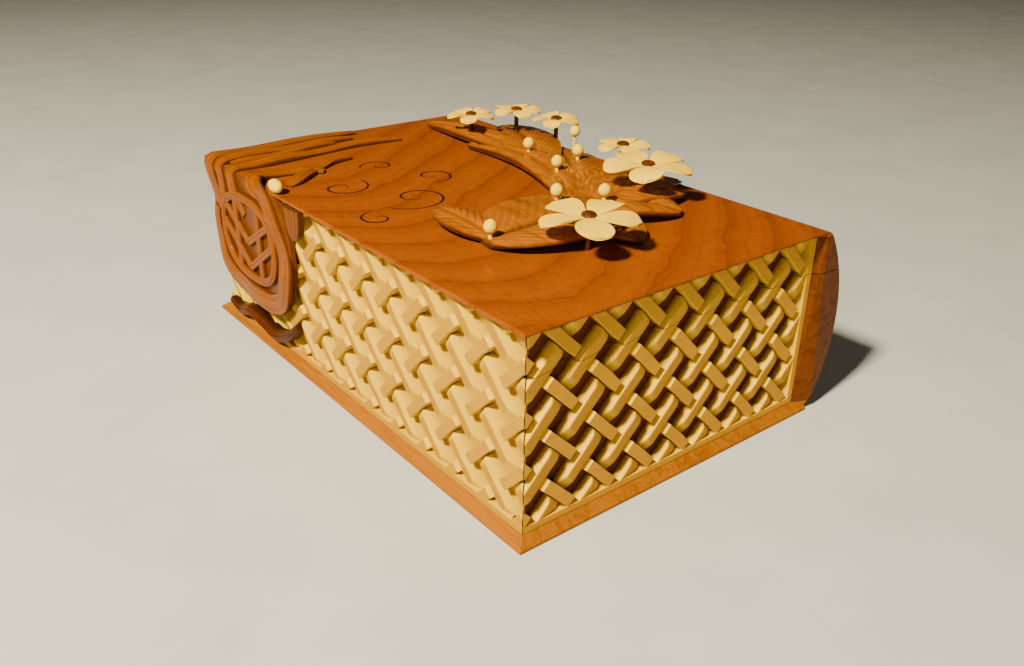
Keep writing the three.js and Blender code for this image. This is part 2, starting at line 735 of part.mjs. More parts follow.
// A petal is a blade that arches up from the hub and droops at its tip, outwards along +X.
// Its outline scales with its length.
function petal(length) {
  const rings = petalForm.map(([u, halfWidth]) => {
    const lift = petalArch * Math.sin(Math.PI * u) - petalDroop * u * u;
    const half = halfWidth * length;
    const curl = petalCurl * length * u;
    const skin = (z) => [[-half, lift + curl + z], [0, lift + z], [half, lift + curl + z]];
    return [...skin(petalThickness), ...skin(0).reverse()]
      .map(([y, z]) => new THREE.Vector3(u * length, y, z));
  });
  return loft(rings);
}

function blossom([, , lift, length], turn) {
  const petals = Array.from({ length: 5 }, (_, i) => (
    solid(petal(length).rotateZ((2 * Math.PI * (i + turn)) / 5))));
  const hub = rod(hubRadius, -petalThickness, petalThickness, 0, 0, 8);
  const bore = rod(blossomPinRadius + runningGap, -boxHeight, boxHeight, 0, 0, 6);
  return joined([hub, ...petals]).subtract(bore).translate([0, 0, boxHeight + lift]);
}

// The pin that holds a blossom: a shank from the board and a domed head over the hub
function blossomPin([, , lift]) {
  const under = boxHeight + lift + petalThickness + petalArch / 2 + runningGap;
  const profile = [
    [0, topSeat], [blossomPinRadius, topSeat], [blossomPinRadius, under],
    [blossomPinHeadRadius, under], [blossomPinHeadRadius * 0.8, under + 0.9], [0, under + 1.3],
  ];
  return new THREE.LatheGeometry(profile.map(([r, h]) => new THREE.Vector2(r, h)), 8)
    .rotateX(Math.PI / 2);
}

function berry([, , lift]) {
  const bead = solid(new THREE.SphereGeometry(berryRadius, 8, 5).rotateX(Math.PI / 2)
    .translate(0, 0, boxHeight + lift));
  return bead.add(rod(berryPegRadius, topSeat, boxHeight + lift, 0, 0, 6));
}

// Materials
const finish = (color, roughness, metalness = 0) => (
  new THREE.MeshStandardMaterial({ color, roughness, metalness }));
const walnut = finish(0x7a3d12, 0.35);
const walnutCarving = finish(0x8a4a14, 0.3);
const paleWood = finish(0xe2b866, 0.55);
const boxwood = finish(0xeccb74, 0.5);
const darkWood = finish(0x3a1c08, 0.5);
const brass = finish(0xb08a3a, 0.35, 1);

const bookBox = new THREE.Group();

function add(name, shape, material, [x, y, z] = [0, 0, 0]) {
  const geometry = shape.getMesh ? geometryOf(shape) : shape;
  const mesh = new THREE.Mesh(geometry, material);
  mesh.name = name;
  mesh.position.set(x, y, z);
  bookBox.add(mesh);
}

const seatsBelow = joined(hingePlaces.map((y) => hingeSeat(y, -1)));
const seatsAbove = joined(hingePlaces.map((y) => hingeSeat(y, 1)));

add('bottom_board', bottomBoard(), walnut);
add('head_wall', bodyWall('head'), paleWood);
add('tail_wall', bodyWall('tail'), paleWood);
add('fore_edge_wall', bodyWall('fore_edge'), paleWood);
add('back_wall', backPiece(bottomBoardThickness + glueGap, seamHeight), paleWood);
add('spine_lower', spinePiece(bottomBoardThickness + glueGap, seamHeight, 9).subtract(seatsBelow), walnut);
add('clasp_scroll', claspScroll(), walnutCarving);

add('top_board', topBoard(), walnut);
add('head_rim', lidRim('head'), paleWood);
add('tail_rim', lidRim('tail'), paleWood);
add('fore_edge_rim', lidRim('fore_edge'), paleWood);
add('back_rim', backPiece(lidBottom, topUnderside - glueGap), paleWood);
add('spine_upper', spinePiece(lidBottom, topUnderside - glueGap, 3).subtract(seatsAbove), walnut);
add('clasp_plate', claspPlate(), walnutCarving);
add('strapwork', strapwork(), walnutCarving);
add('edge_bead', edgeBead(), boxwood);
add('leaf_wreath', leafWreath(), walnutCarving);

blossomPlaces.forEach((place, i) => {
  add(`blossom_${i + 1}`, blossom(place, blossomTurns[i]), boxwood, [place[0], place[1], 0]);
  add(`blossom_pin_${i + 1}`, blossomPin(place), darkWood, [place[0], place[1], 0]);
});
berryPlaces.forEach((place, i) => {
  add(`berry_${i + 1}`, berry(place), boxwood, [place[0], place[1], 0]);
});

hingePlaces.forEach((y, hinge) => {
  add(`hinge_leaf_lower_${hinge + 1}`, hingeLeaf(y, -1), brass);
  add(`hinge_leaf_upper_${hinge + 1}`, hingeLeaf(y, 1), brass);
  add(`hinge_pin_${hinge + 1}`, hingePin(y), brass);
  screwPlaces(y).forEach((place, i) => {
    const number = 2 * hinge + i + 1;
    add(`hinge_screw_lower_${number}`, screwAt(place, -1, 0), brass);
    add(`hinge_screw_upper_${number}`, screwAt(place, 1, 0), brass);
  });
});

export default bookBox;
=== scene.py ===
import json
import math

import bmesh
import bpy
from mathutils import Matrix, Vector, noise


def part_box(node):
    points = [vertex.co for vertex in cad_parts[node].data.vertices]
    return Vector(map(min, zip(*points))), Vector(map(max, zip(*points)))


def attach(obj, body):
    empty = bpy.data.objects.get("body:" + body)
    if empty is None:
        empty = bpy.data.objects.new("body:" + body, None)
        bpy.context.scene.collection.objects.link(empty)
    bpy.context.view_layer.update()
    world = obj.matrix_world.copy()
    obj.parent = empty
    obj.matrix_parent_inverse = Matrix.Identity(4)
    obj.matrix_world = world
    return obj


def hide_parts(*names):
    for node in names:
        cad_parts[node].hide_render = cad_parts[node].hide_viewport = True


# The looks of a carved wooden book box. Meshes are drawn in millimetres in the frame of the CAD
# part: X from the fore-edge to the spine, Y from the head to the tail, Z up.

MM = 0.001
BODY = "box_body"
LID = "lid"

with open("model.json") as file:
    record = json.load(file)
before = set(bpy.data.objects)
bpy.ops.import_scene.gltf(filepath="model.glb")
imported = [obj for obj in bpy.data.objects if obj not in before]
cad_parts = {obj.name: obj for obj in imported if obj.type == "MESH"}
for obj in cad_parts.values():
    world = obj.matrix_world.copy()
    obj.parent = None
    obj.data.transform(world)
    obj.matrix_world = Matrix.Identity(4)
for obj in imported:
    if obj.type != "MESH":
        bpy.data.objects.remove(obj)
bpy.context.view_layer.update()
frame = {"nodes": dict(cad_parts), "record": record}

# The wander of the knife comes out the same each run
noise.seed_set(1)


def box_mm(node):
    low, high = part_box(node)
    return Vector(low) / MM, Vector(high) / MM


# Sizes from the frame
BOARD_LOW, BOARD_HIGH = box_mm("top_board")
BASE_HIGH = box_mm("bottom_board")[1]
LONG_WALL_LOW = box_mm("fore_edge_wall")[0]
HEAD_WALL_LOW, HEAD_WALL_HIGH = box_mm("head_wall")
RIM_LOW = box_mm("head_rim")[0]

FORE_EDGE = BOARD_LOW.x
COVER_WIDTH = -2 * FORE_EDGE
BLOCK_FRONT = LONG_WALL_LOW.x
BLOCK_BACK = HEAD_WALL_HIGH.x
BLOCK_END = -HEAD_WALL_LOW.y
BOARD_OVERHANG = BLOCK_FRONT - FORE_EDGE
COVER_LENGTH = 2 * (BLOCK_END + BOARD_OVERHANG)
BOX_HEIGHT = BOARD_HIGH.z
SEAM_GAP = RIM_LOW.z - HEAD_WALL_HIGH.z
TOP_SEAT = BOX_HEIGHT + SEAM_GAP
WALL_THICKNESS = HEAD_WALL_HIGH.y - HEAD_WALL_LOW.y
GLUE_GAP = 0.25


# Shader helper: one material's nodes by short calls

SPECULAR = 0.1


class Shader:
    def __init__(self, name):
        self.material = bpy.data.materials.new(name)
        self.material.use_nodes = True
        self.tree = self.material.node_tree
        self.surface = self.tree.nodes["Principled BSDF"]
        self.surface.inputs["Specular IOR Level"].default_value = SPECULAR

    def put(self, socket, value):
        if isinstance(value, bpy.types.NodeSocket):
            self.tree.links.new(value, socket)
        else:
            socket.default_value = value

    def node(self, kind, inputs, **settings):
        node = self.tree.nodes.new(kind)
        for key, value in settings.items():
            setattr(node, key, value)
        for key, value in inputs.items():
            self.put(node.inputs[key], value)
        return node.outputs[0]

    def math(self, operation, *values):
        return self.node("ShaderNodeMath", dict(enumerate(values)), operation=operation)

    def spread(self, value, low, high, to_low=0.0, to_high=1.0):
        inputs = {0: value, 1: low, 2: high, 3: to_low, 4: to_high}
        return self.node("ShaderNodeMapRange", inputs)

    def place(self, scale=(1, 1, 1)):
        """The place on the object in millimetres, scaled."""
        tex = self.tree.nodes.new("ShaderNodeTexCoord")
        sized = [s / MM for s in scale]
        return self.node("ShaderNodeMapping", {"Vector": tex.outputs["Object"], "Scale": sized})

    def recess(self):
        """How deep a carved point lies, from 0 to 1, as its mesh says; the materials darken by it
        as painted shade.
        """
        attribute = self.tree.nodes.new("ShaderNodeAttribute")
        attribute.attribute_name = "recess"
        return attribute.outputs["Fac"]

    def noise(self, place, scale, detail=4.0, roughness=0.55, distortion=0.0):
        inputs = {
            "Vector": place, "Scale": scale, "Detail": detail,
            "Roughness": roughness, "Distortion": distortion,
        }
        return self.node("ShaderNodeTexNoise", inputs)

    def ramp(self, value, stops):
        node = self.tree.nodes.new("ShaderNodeValToRGB")
        self.tree.links.new(value, node.inputs["Fac"])
        while len(node.color_ramp.elements) < len(stops):
            node.color_ramp.elements.new(0.5)
        for element, (position, color) in zip(node.color_ramp.elements, stops):
            element.position = position
            element.color = srgb(color)
        return node.outputs["Color"]

    def blend(self, factor, a, b, mode="MIX"):
        node = self.tree.nodes.new("ShaderNodeMix")
        node.data_type = "RGBA"
        node.blend_type = mode
        self.put(node.inputs["Factor"], factor)
        self.put(node.inputs["A"], a)
        self.put(node.inputs["B"], b)
        return node.outputs["Result"]

    def bump(self, height, distance):
        inputs = {"Height": height, "Distance": distance * MM, "Strength": 1.0}
        self.put(self.surface.inputs["Normal"], self.node("ShaderNodeBump", inputs))

    def finish(self, color, roughness, **extra):
        self.put(self.surface.inputs["Base Color"], color)
        self.put(self.surface.inputs["Roughness"], roughness)
        for key, value in extra.items():
            self.put(self.surface.inputs[key.replace("_", " ").title()], value)
        return self.material


def srgb(color):
    """A colour typed as 0 to 255 on screen, as the shader takes it."""
    def channel(value):
        value /= 255
        return value / 12.92 if value <= 0.04045 else ((value + 0.055) / 1.055) ** 2.4
    return (*map(channel, color), 1.0)


def shaded(color, share):
    return srgb([c * share for c in color])


# Woods and brass

YEAR_RING = [
    (0.0, (123, 60, 1)), (0.35, (132, 66, 1)), (0.74, (122, 59, 1)), (0.9, (114, 54, 0)),
    (0.96, (103, 47, 0)), (1.0, (120, 58, 1)),
]
FINE_RING = [
    (0.0, (255, 255, 255)), (0.8, (242, 236, 226)), (0.95, (214, 198, 180)), (1.0, (250, 250, 250)),
]
PORE = (54, 22, 0)
STREAK = (140, 70, 1)


def walnut_figure():
    """Walnut sawn through the heart: nested arches that point to the head, with pores along Y."""
    heart_x = -39.0
    fore_edge_reach, spine_reach, blending = 22.0, 35.0, 6.0
    arch_slope = 0.92
    ring_width, fine_ring_width = 19.5, 6.3
    wander, fine_wander = 26.0, 5.0
    s = Shader("walnut_figure")
    place = s.place()
    sway = s.noise(s.place((0.02, 0.006, 0.02)), 1.0, 3.0)
    fine_sway = s.noise(s.place((0.12, 0.03, 0.12)), 1.0, 3.0)
    split = s.tree.nodes.new("ShaderNodeSeparateXYZ")
    s.tree.links.new(place, split.inputs[0])
    side = s.math("SUBTRACT", split.outputs["X"], heart_x)
    reach = s.spread(side, -blending, blending, fore_edge_reach, spine_reach)
    steep = s.math("DIVIDE", side, reach)
    arch = s.math("SQRT", s.math("MULTIPLY_ADD", steep, steep, 1.0))
    rise = s.math("MULTIPLY", reach, arch_slope)
    arch = s.math("MULTIPLY", s.math("SUBTRACT", arch, 1.0), rise)
    rings = s.math("SUBTRACT", split.outputs["Y"], arch)
    rings = s.math("MULTIPLY_ADD", sway, wander, rings)
    rings = s.math("MULTIPLY_ADD", fine_sway, fine_wander, rings)
    year = s.math("FRACT", s.math("MULTIPLY", rings, 1 / ring_width))
    fine_year = s.math("FRACT", s.math("MULTIPLY", rings, 1 / fine_ring_width))
    wood = s.blend(0.45, s.ramp(year, YEAR_RING), s.ramp(fine_year, FINE_RING), "MULTIPLY")
    pores = s.noise(s.place((2.6, 0.16, 2.6)), 1.0, 3.0, 0.6)
    pore_mask = s.spread(pores, 0.56, 0.68)
    wood = s.blend(s.math("MULTIPLY", pore_mask, 0.5), wood, srgb(PORE))
    streak = s.noise(s.place((0.5, 0.02, 0.5)), 1.0, 4.0)
    wood = s.blend(s.spread(streak, 0.3, 0.75, 0.0, 0.35), wood, srgb(STREAK))
    s.bump(s.math("SUBTRACT", s.math("MULTIPLY", streak, 0.3), pore_mask), 0.06)
    roughness = s.spread(pores, 0.3, 0.8, 0.3, 0.48)
    return s.finish(wood, roughness, Coat_weight=0.2, Coat_roughness=0.18)


def walnut(name, light, dark, roughness=0.38, gloss=0.25, relief=0.08, fibres=0.5, banding=1.0):
    """Walnut with straight grain along Y, with painted shade that darkens its carved recesses,
    grooves and undersides.

    gloss is the weight of the varnish; fibres and banding are how strongly the grain shows.
    """
    s = Shader(name)
    bands = s.noise(s.place((0.22, 0.012, 0.22)), 1.0, 5.0, 0.6, 0.6)
    fibre = s.noise(s.place((1.8, 0.09, 1.8)), 1.0, 3.0, 0.6)
    mottle = s.noise(s.place((0.06, 0.06, 0.06)), 1.0, 2.0)
    wood = s.ramp(bands, [(0.3, dark), (0.5, light), (0.62, dark), (0.72, light)])
    wood = s.blend(banding, srgb(light), wood)
    wood = s.blend(s.spread(fibre, 0.5, 0.72, 0.0, fibres), wood, shaded(dark, 0.5))
    wood = s.blend(s.spread(mottle, 0.3, 0.7, 0.0, 0.3), wood, srgb(light))
    # Painted shade: darker where the mesh marks a recess, a groove or an underside
    wood = s.blend(s.spread(s.recess(), 0.1, 1.0, 0.0, 0.9), wood, shaded(dark, 0.4))
    s.bump(fibre, relief)
    uneven = s.spread(fibre, 0.3, 0.8, roughness - 0.06, roughness + 0.14)
    return s.finish(wood, uneven, Coat_weight=gloss, Coat_roughness=0.15)


def pale_wood(name, along, light, shade, floor, relief=0.1, hatched=0.8, outwards=None,
              facing_shade=(238, 214, 150)):
    """Pale close-grained wood, with painted shade that darkens the carved recesses. along is the
    grain's axis.

    outwards is the axis that a carved face looks along: what lies flat in the face gets painted
    shade, a darker and warmer tint.
    hatched is how strongly tool marks show in the recesses.
    """
    s = Shader(name)
    stretch = [0.07 if axis == along else 1.1 for axis in "XYZ"]
    fibre = s.noise(s.place(stretch), 1.0, 4.0, 0.65, 0.3)
    broad = s.noise(s.place([c * 0.12 for c in stretch]), 1.0, 3.0)
    speck = s.noise(s.place((1.6, 1.6, 1.6)), 1.0, 3.0, 0.7)
    hatch = s.noise(s.place((0.9, 0.9, 2.6)), 1.0, 3.0, 0.7, 1.0)
    depth = s.recess()
    # Painted shade: the carving darkens towards the floor colour the deeper it lies, with the tool
    # marks' hatch in it
    recess_shade = s.spread(s.math("ADD", depth, s.math("MULTIPLY", speck, 0.24)), 0.42, 0.98)
    wood = s.ramp(fibre, [(0.25, shade), (0.5, light), (0.7, light), (0.85, shade)])
    wood = s.blend(s.spread(broad, 0.35, 0.7, 0.0, 0.45), wood, srgb(shade))
    # Painted shade: faces that look straight out get a darker, warmer tint than the sloping flanks
    if outwards:
        tex = s.tree.nodes.new("ShaderNodeTexCoord")
        facing = s.tree.nodes.new("ShaderNodeSeparateXYZ")
        s.tree.links.new(tex.outputs["Normal"], facing.inputs[0])
        flat = s.spread(s.math("ABSOLUTE", facing.outputs[outwards]), 0.88, 0.97)
        facing_shade_mask = s.math("MULTIPLY", flat, s.spread(depth, 0.3, 0.45, 1.0, 0.0))
        wood = s.blend(facing_shade_mask, wood, srgb(facing_shade), "MULTIPLY")
    marks = s.spread(hatch, 0.35, 0.7, 0.0, hatched)
    dark = s.blend(marks, srgb(floor), shaded(floor, 0.45))
    wood = s.blend(recess_shade, wood, dark)
    height = s.math("MULTIPLY_ADD", s.math("MULTIPLY", hatch, recess_shade), 3.0, fibre)
    s.bump(height, relief)
    return s.finish(wood, s.spread(recess_shade, 0.0, 1.0, 0.5, 0.8))


def brass():
    s = Shader("aged_brass")
    wear = s.noise(s.place((0.5, 0.5, 0.5)), 1.0, 5.0, 0.6)
    scratch = s.noise(s.place((0.3, 6.0, 6.0)), 1.0, 3.0)
    tint = s.ramp(wear, [(0.3, (150, 112, 48)), (0.55, (196, 156, 78)), (0.8, (120, 86, 36))])
    s.bump(scratch, 0.02)
    return s.finish(tint, s.spread(wear, 0.3, 0.8, 0.25, 0.5), Metallic=1.0)


MATERIALS = {
    "walnut_figure": walnut_figure(),
    "walnut": walnut(
        "golden_walnut", (146, 89, 1), (124, 70, 0), roughness=0.42, gloss=0.03),
    "spine_walnut": walnut(
        "spine_walnut", (106, 53, 0), (76, 35, 0), roughness=0.42, gloss=0.03),
    # The third colour is the carved floor's: dark brown on the end walls as painted shade, near the
    # wood's own colour on the long wall
    "weave_x": pale_wood(
        "linden_crossways", "X", (220, 180, 18), (206, 156, 8), (122, 66, 1), outwards="Y"),
    "weave_y": pale_wood(
        "linden_lengthways", "Y", (204, 168, 16), (190, 150, 8), (198, 160, 10), hatched=0.25,
        outwards="X", facing_shade=(218, 198, 96)),
    "petal_wood": pale_wood(
        "boxwood", "X", (232, 196, 34), (216, 170, 18), (170, 120, 10), relief=0.05),
    "leaf_walnut": walnut(
        "leaf_walnut", (150, 85, 0), (94, 48, 0), roughness=0.22, gloss=0.7, relief=0.04,
        fibres=0.25, banding=0.7),
    "carved_walnut": walnut(
        "carved_walnut", (128, 68, 0), (88, 42, 0), roughness=0.34, gloss=0.1, relief=0.03,
        fibres=0.1, banding=0.4),
    "dark_carving": walnut(
        "dark_carving", (80, 34, 0), (48, 19, 0), roughness=0.36, gloss=0.08, relief=0.03,
        fibres=0.15),
    "dark_wood": walnut("stained_wood", (92, 50, 20), (48, 24, 10), roughness=0.5, gloss=0.1),
    "incised": walnut("incised_line", (44, 20, 8), (26, 12, 5), roughness=0.6, gloss=0.0),
    "brass": brass(),
}


# Mesh helpers


def skin(bm, rings):
    """A surface over rings of points, closed round each ring and capped at both ends."""
    rows = [[bm.verts.new(point) for point in ring] for ring in rings]
    count = len(rings[0])
    for a, b in zip(rows, rows[1:]):
        for i in range(count):
            j = (i + 1) % count
            bm.faces.new((a[i], a[j], b[j], b[i]))
    bm.faces.new(rows[0][::-1])
    bm.faces.new(rows[-1])
    return rows


def skin_with_painted_shade(bm, rings, depths):
    """A surface whose points also keep how deep they lie, for the painted shade in recesses,
    grooves and undersides.
    """
    recess = bm.verts.layers.float.get("recess") or bm.verts.layers.float.new("recess")
    for row, row_depths in zip(skin(bm, rings), depths):
        for vert, depth in zip(row, row_depths):
            vert[recess] = depth


def piece(name, bm, material, body, slot, *nodes, smooth_angle=38):
    """Makes an object of a mesh drawn in millimetres, smooth up to an angle between its faces."""
    bmesh.ops.recalc_face_normals(bm, faces=bm.faces)
    bmesh.ops.scale(bm, vec=(MM, MM, MM), verts=bm.verts)
    mesh = bpy.data.meshes.new(name)
    bm.to_mesh(mesh)
    bm.free()
    mesh.shade_smooth()
    mesh.set_sharp_from_angle(angle=math.radians(smooth_angle))
    mesh.materials.append(MATERIALS[material])
    made = bpy.data.objects.new(name, mesh)
    bpy.context.scene.collection.objects.link(made)
    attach(made, body)
    if nodes:
        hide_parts(*nodes)


def interpolated(points, x):
    """The value at x on a line through points, flat beyond its ends."""
    if x <= points[0][0]:
        return points[0][1]
    for (x0, y0), (x1, y1) in zip(points, points[1:]):
        if x <= x1:
            return y0 + (y1 - y0) * (x - x0) / (x1 - x0)
    return points[-1][1]


def curve_through(points, steps):
    """Places along a smooth curve through points, steps to each stretch, ends included."""
    padded = [2 * points[0] - points[1], *points, 2 * points[-1] - points[-2]]
    places = []
    for a, b, c, d in zip(padded, padded[1:], padded[2:], padded[3:]):
        for i in range(steps):
            t = i / steps
            places.append(0.5 * (
                2 * b + (c - a) * t + (2 * a - 5 * b + 4 * c - d) * t**2
                + (3 * b - a - 3 * c + d) * t**3))
    return [*places, points[-1]]


# Basket weave: square cells on the diagonal, flat bars and between them ridged bars. p runs along
# the flat bars and q along the ridged ones, both from a flat bar's middle.

CELL = 16.87
PITCH = CELL / math.sqrt(2)
CORNER_HEIGHT = 59.6
FOLD_ON_HEAD = -2.8
FOLD_ON_FORE_EDGE = 5.3
FLOOR = 4.0
FLOOR_RIPPLE = 0.25
RIDGE_CREST = -1.9
RIDGE_FADE = 12
KNIFE_WANDER = 0.28
KNIFE_RELIEF = 0.12
BORDER_WIDTH = 2.4
BORDER_HEIGHT = 2.2
BORDER_DEPTH = 0.06
# Depths under the face, by the distance from a bar's middle along it or across it
FLAT_ALONG = [(-9.1, 4.5), (-7.45, 0.25), (-7.2, 0), (6.78, 0), (6.9, 0.12), (6.93, 4.5)]
FLAT_ACROSS = [(1.7, 0), (1.85, 0.14), (1.88, 4.5)]
RIDGE_ACROSS = [
    (-2.6, 4.5), (-2.0, 0.4), (-1.8, 0.1), (-1.5, 0), (-1.0, 0.06), (3.85, 1.4), (4.0, 1.6),
    (4.03, 4.5),
]
RIDGE_DIPS = [
    (-9.98, 4.5), (-9.95, 2.4), (-6.9, 0.25), (-6.1, 0), (7.4, 0), (8.3, 0.25), (9.6, 1.3),
    (9.63, 4.5),
]


def weave_depth(p, q):
    """How far the carving lies under the face: the highest bar at a point, or the floor."""
    depth = FLOOR + FLOOR_RIPPLE * noise.noise(Vector((p, q, 0)) * 0.9)
    column, row = round(p / PITCH), round(q / PITCH)
    for i in (column - 1, column, column + 1):
        for j in (row - 1, row, row + 1):
            along, across = p - i * PITCH, q - j * PITCH
            if (i + j) % 2 == 0:
                bar = max(interpolated(FLAT_ALONG, along), interpolated(FLAT_ACROSS, abs(across)))
            else:
                dip = interpolated(RIDGE_DIPS, across)
                share = min(1, max(0.5, 1 - (along - RIDGE_CREST) / RIDGE_FADE))
                bar = interpolated(RIDGE_ACROSS, along) + dip * share
            depth = min(depth, bar)
    return depth


def grid_lines(edges, low, high, widest=0.9):
    """Lines from low to high that repeat with the pitch and pass through every bar's edges."""
    marks = sorted({round(edge % PITCH, 3) for edge in edges})
    marks.append(marks[0] + PITCH)
    steps = []
    for a, b in zip(marks, marks[1:]):
        count = max(1, math.ceil((b - a) / widest))
        steps.extend(a + (b - a) * i / count for i in range(count))
    first, last = math.floor(low / PITCH) - 1, math.ceil(high / PITCH) + 1
    lines = [n * PITCH + step for n in range(first, last) for step in steps]
    return [line for line in lines if low - 1 <= line <= high + 1]


class Face:
    """A woven face as seen from outside: distance along it, height, and distance outwards."""

    def __init__(self, side, length, far_mitre, down, cell, right, origin, seed):
        self.side = side
        self.length = length
        self.far_mitre = far_mitre
        self.falling = Vector((down, -1)).normalized()
        self.rising = Vector((down, 1)).normalized()
        self.cell = Vector(cell)
        self.seed = seed
        out = right.cross(Vector((0, 0, 1)))
        self.matrix = Matrix((right, Vector((0, 0, 1)), out)).transposed().to_4x4()
        self.matrix.translation = origin

    def relief(self, low, high):
        """The carved surface over a rectangle, on a grid that follows the bars."""
        margin = 3
        corners = [Vector((x, y)) - self.cell for x in (low[0], high[0]) for y in (low[1], high[1])]
        p_range = [c.dot(self.falling) for c in corners]
        q_range = [c.dot(self.rising) for c in corners]
        p_edges = [x for x, _ in FLAT_ALONG + RIDGE_ACROSS]
        q_edges = [x for x, _ in FLAT_ACROSS + RIDGE_DIPS] + [-x for x, _ in FLAT_ACROSS]
        ps = grid_lines(p_edges, min(p_range), max(p_range))
        qs = grid_lines(q_edges, min(q_range), max(q_range))
        bm = bmesh.new()
        recess = bm.verts.layers.float.new("recess")
        rows = []
        for p in ps:
            row = []
            for q in qs:
                x, y = self.cell + self.falling * p + self.rising * q
                beside = low[0] - margin < x < high[0] + margin
                if not (beside and low[1] - margin < y < high[1] + margin):
                    row.append(None)
                    continue
                depth = weave_depth(p, q)
                wander = noise.noise_vector(Vector((x, y, self.seed)) * 0.13)
                vert = bm.verts.new((
                    x + KNIFE_WANDER * wander.x, y + KNIFE_WANDER * wander.y,
                    min(0, -depth + KNIFE_RELIEF * (wander.z - 0.6))))
                # The depth sets the painted shade in the recesses
                vert[recess] = depth / FLOOR
                row.append(vert)
            rows.append(row)
        for a, b in zip(rows, rows[1:]):
            for corners in zip(a, a[1:], b[1:], b):
                if all(corners):
                    bm.faces.new(corners)
        return bm

    def block(self, bottom, top, end):
        """The weave over a part of the face, cut to a closed block with mitred ends."""
        side = self.side
        along = sorted((side * GLUE_GAP, side * end))
        bm = self.relief((along[0], bottom), (along[1], top))
        slope = 1 if self.far_mitre else 0
        cuts = [
            (Vector((0, bottom, 0)), Vector((0, -1, 0))),
            (Vector((0, top, 0)), Vector((0, 1, 0))),
            (Vector((side * GLUE_GAP, 0, 0)), Vector((-side, 0, -1))),
            (Vector((side * end, 0, 0)), Vector((side, 0, -slope))),
        ]
        for place, normal in cuts:
            geometry = bm.verts[:] + bm.edges[:] + bm.faces[:]
            bmesh.ops.bisect_plane(
                bm, geom=geometry, plane_co=place, plane_no=normal, clear_outer=True, dist=1e-5)
        edges = [edge for edge in bm.edges if edge.is_boundary]
        walls = bmesh.ops.extrude_edge_only(bm, edges=edges)["geom"]
        limits = sorted((side * (GLUE_GAP + WALL_THICKNESS), side * (end - slope * WALL_THICKNESS)))
        back = [item for item in walls if isinstance(item, bmesh.types.BMVert)]
        recess = bm.verts.layers.float["recess"]
        for vert in back:
            vert[recess] = 0
            vert.co.x = min(limits[1], max(limits[0], vert.co.x))
            vert.co.z = -WALL_THICKNESS
        bmesh.ops.remove_doubles(bm, verts=back, dist=1e-4)
        rim = [edge for edge in bm.edges if edge.is_boundary]
        bmesh.ops.contextual_create(bm, geom=rim)
        return bm

    def bar(self, bm, start, end, bottom, top, near_slope, far_slope):
        """A plain mitred border strip beside the weave."""
        near, far = self.side * start, self.side * end
        near_back = near + self.side * near_slope * WALL_THICKNESS
        far_back = far - self.side * far_slope * WALL_THICKNESS
        skin(bm, [
            [(near, height, -BORDER_DEPTH), (far, height, -BORDER_DEPTH),
             (far_back, height, -WALL_THICKNESS), (near_back, height, -WALL_THICKNESS)]
            for height in (bottom, top)])


END_LENGTH = BLOCK_BACK - BLOCK_FRONT
LONG_LENGTH = 2 * BLOCK_END
TAIL_FOLD = (LONG_LENGTH - FOLD_ON_FORE_EDGE) % CELL
FORE_EDGE_ROW = CORNER_HEIGHT - FOLD_ON_FORE_EDGE
FACES = {
    "head": Face(1, END_LENGTH, False, 1, (FOLD_ON_HEAD, CORNER_HEIGHT - FOLD_ON_HEAD),
                 Vector((1, 0, 0)), Vector((BLOCK_FRONT, -BLOCK_END, 0)), 1.0),
    "fore_edge": Face(-1, LONG_LENGTH, True, -1, (-FOLD_ON_FORE_EDGE, FORE_EDGE_ROW),
                      Vector((0, -1, 0)), Vector((BLOCK_FRONT, -BLOCK_END, 0)), 7.0),
    "tail": Face(-1, END_LENGTH, False, 1, (-TAIL_FOLD, FORE_EDGE_ROW),
                 Vector((-1, 0, 0)), Vector((BLOCK_FRONT, BLOCK_END, 0)), 13.0),
}


def woven_wall(node, face_name, body, border):
    face = FACES[face_name]
    low, high = box_mm(node)
    long_side = face.far_mitre
    end = face.length - GLUE_GAP if long_side else face.length - BORDER_WIDTH
    foot = low.z + BORDER_HEIGHT if border else low.z
    bm = face.block(foot, high.z, end)
    if border:
        far = face.length - GLUE_GAP if long_side else face.length
        face.bar(bm, GLUE_GAP, far, low.z, foot, 1, 1 if long_side else 0)
    if not long_side:
        face.bar(bm, end, face.length, foot, high.z, 0, 0)
    bmesh.ops.transform(bm, matrix=face.matrix, verts=bm.verts)
    material = "weave_y" if long_side else "weave_x"
    piece(f"{node}_weave", bm, material, body, "pale_wood", node, smooth_angle=28)


for face_name in FACES:
    woven_wall(f"{face_name}_wall", face_name, BODY, True)
    woven_wall(f"{face_name}_rim", face_name, LID, False)


# Floral spray. Places on the cover are shares of its width and length from the middle.

BIG_PETAL = 16.5
SMALL_PETAL = 10.6
# Place on the cover, height over it, length of the petals and turn in fifths of a circle
BLOSSOMS = [
    (-0.094, -0.335, 10, BIG_PETAL, 0.28), (0.293, -0.219, 12, BIG_PETAL, 0.08),
    (0.404, -0.089, 11, SMALL_PETAL, 0.4), (0.272, 0.268, 11, SMALL_PETAL, 0.16),
    (0.416, 0.232, 12, SMALL_PETAL, 0.48), (0.458, 0.136, 11, SMALL_PETAL, 0.0),
]
